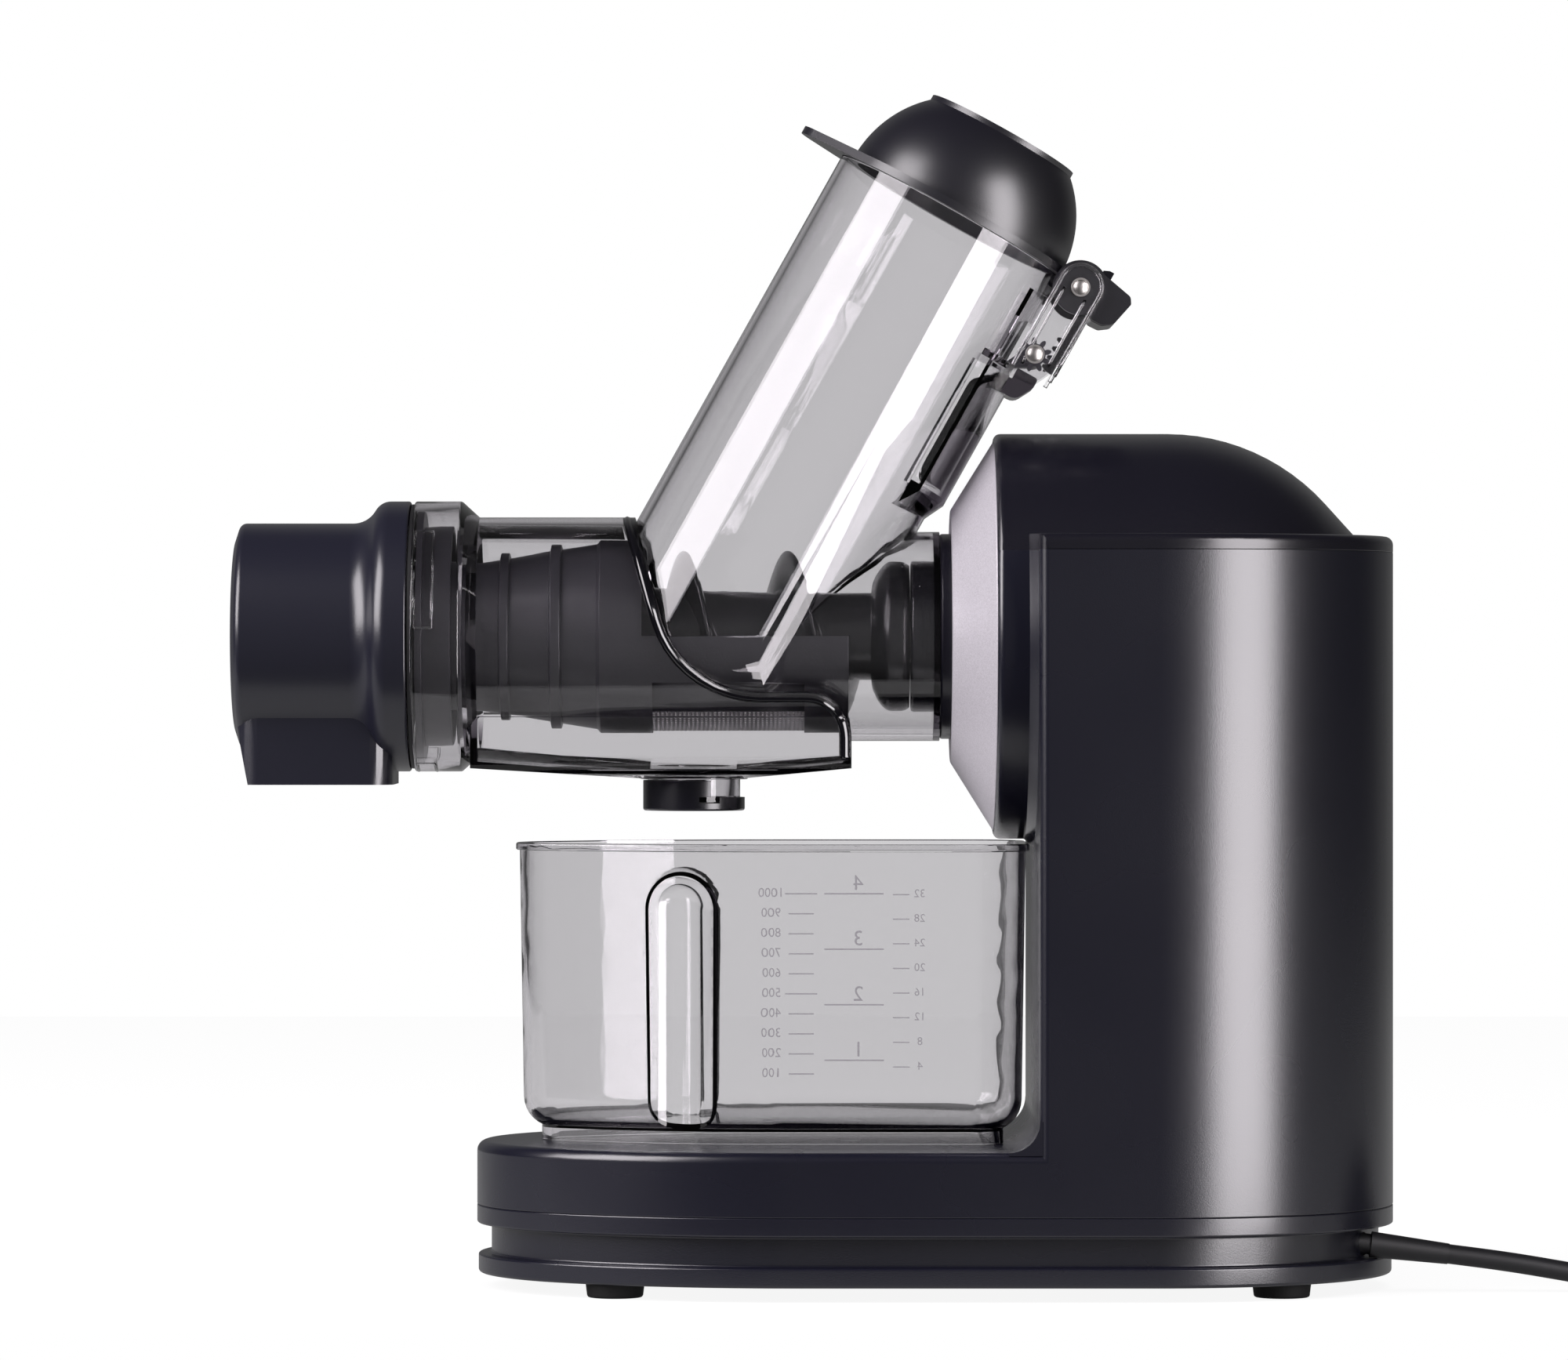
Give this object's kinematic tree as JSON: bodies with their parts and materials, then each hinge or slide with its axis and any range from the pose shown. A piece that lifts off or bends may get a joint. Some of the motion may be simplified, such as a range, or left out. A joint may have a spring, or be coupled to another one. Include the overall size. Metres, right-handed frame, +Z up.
{
  "type": "cold press juicer",
  "caption": "Horizontal cold press juicer with a slow auger in a clear chamber, a leaning feed chute with lid and safety flap, a pulp outlet, a juice jug and a power cord.",
  "frame": {"origin": "Centre of the base's footprint, on the counter", "axes": "+X along the auger, from the pulp end to the motor; +Y to the back; +Z up"},
  "size_m": [0.5593, 0.1849, 0.4097],
  "materials": {
    "black_abs": "satin",
    "gloss_black": "gloss",
    "silver_abs": "satin metallic paint",
    "smoke_clear": "clear gloss",
    "auger_black": "satin",
    "steel": "brushed",
    "gear_nylon": "matte",
    "rubber": "matte",
    "board": "matte",
    "motor_steel": "dark"
  },
  "bodies": {
    "housing": {"base_tray": "black_abs", "rubber_feet": "rubber", "motor_housing": "black_abs", "top_cover": "gloss_black", "silver_fascia": "silver_abs", "coupling_collar": "gloss_black", "shaft_seal": "rubber", "collar_screws": "steel", "base_screws": "steel", "gear_case_front": "black_abs", "gear_case": "black_abs", "case_screws": "steel", "output_bearing": "steel", "middle_axle": "steel", "motor_can": "steel", "motor_stator": "motor_steel", "control_board": "board", "switch_body": "gloss_black", "juicing_chamber": "smoke_clear", "strainer": "auger_black", "strainer_mesh": "steel", "cap_seal": "rubber", "lid_hinge_pin": "steel", "flap_hinge_pin": "steel", "strain_relief": "rubber", "power_cord": "rubber", "cord_coil": "rubber", "cord_tie": "rubber", "plug_body": "rubber", "plug_pins": "steel"},
    "drive": {"auger": "auger_black", "auger_drive_shaft": "steel", "output_shaft": "steel", "output_gear": "gear_nylon"},
    "middle": {"middle_gear": "steel"},
    "rotor": {"motor_rotor": "motor_steel", "cooling_fan": "gloss_black"},
    "lid_body": {"lid": "gloss_black"},
    "rack_body": {"hinge_rack": "gloss_black"},
    "flap_body": {"safety_flap": "gloss_black"},
    "drip_stop_body": {"drip_stop": "gloss_black", "spout_seal": "rubber"},
    "pulp_cap_body": {"pulp_cap": "gloss_black", "cap_bush": "gear_nylon"},
    "jug_body": {"juice_jug": "smoke_clear"},
    "knob_body": {"switch_knob": "black_abs"}
  },
  "joints": [
    {"name": "auger_turn", "type": "hinge", "parent": "housing", "child": "drive", "pos_m": [0, 0, 0.2233], "axis": [1, 0, 0], "continuous": true},
    {"name": "middle_turn", "type": "hinge", "parent": "housing", "child": "middle", "pos_m": [0, 0, 0.1858], "axis": [1, 0, 0], "continuous": true},
    {"name": "rotor_turn", "type": "hinge", "parent": "housing", "child": "rotor", "pos_m": [0, 0, 0.1533], "axis": [1, 0, 0], "continuous": true},
    {"name": "lid_open", "type": "hinge", "parent": "housing", "child": "lid_body", "pos_m": [0.04932, 0, 0.34244], "axis": [0, 1, 0], "range_deg": [0, 85]},
    {"name": "rack_slide", "type": "slide", "parent": "housing", "child": "rack_body", "axis": [-0.4894, 0, -0.8721], "range_m": [0, 0.00742]},
    {"name": "flap_swing", "type": "hinge", "parent": "housing", "child": "flap_body", "pos_m": [0.03363, 0, 0.31959], "axis": [0, 1, 0], "range_deg": [0, 85]},
    {"name": "drip_stop_turn", "type": "hinge", "parent": "housing", "child": "drip_stop_body", "pos_m": [-0.083, 0, 0.1634], "axis": [0, 0, 1], "range_deg": [0, 90]},
    {"name": "pulp_cap_twist", "type": "hinge", "parent": "housing", "child": "pulp_cap_body", "pos_m": [-0.19, 0, 0.2233], "axis": [1, 0, 0], "range_deg": [0, 30]},
    {"name": "jug_slide", "type": "slide", "parent": "housing", "child": "jug_body", "axis": [-1, 0, 0], "range_m": [0, 0.2]},
    {"name": "switch_turn", "type": "hinge", "parent": "housing", "child": "knob_body", "pos_m": [0.055, 0.084, 0.12], "axis": [0, 1, 0], "range_deg": [-45, 45]}
  ],
  "couplings": [
    {"joint": "middle_turn", "follows": "auger_turn", "ratio": -4},
    {"joint": "rotor_turn", "follows": "auger_turn", "ratio": 13.333},
    {"joint": "rack_slide", "follows": "lid_open", "m_per_rad": 0.005},
    {"joint": "flap_swing", "follows": "lid_open", "ratio": 1}
  ]
}
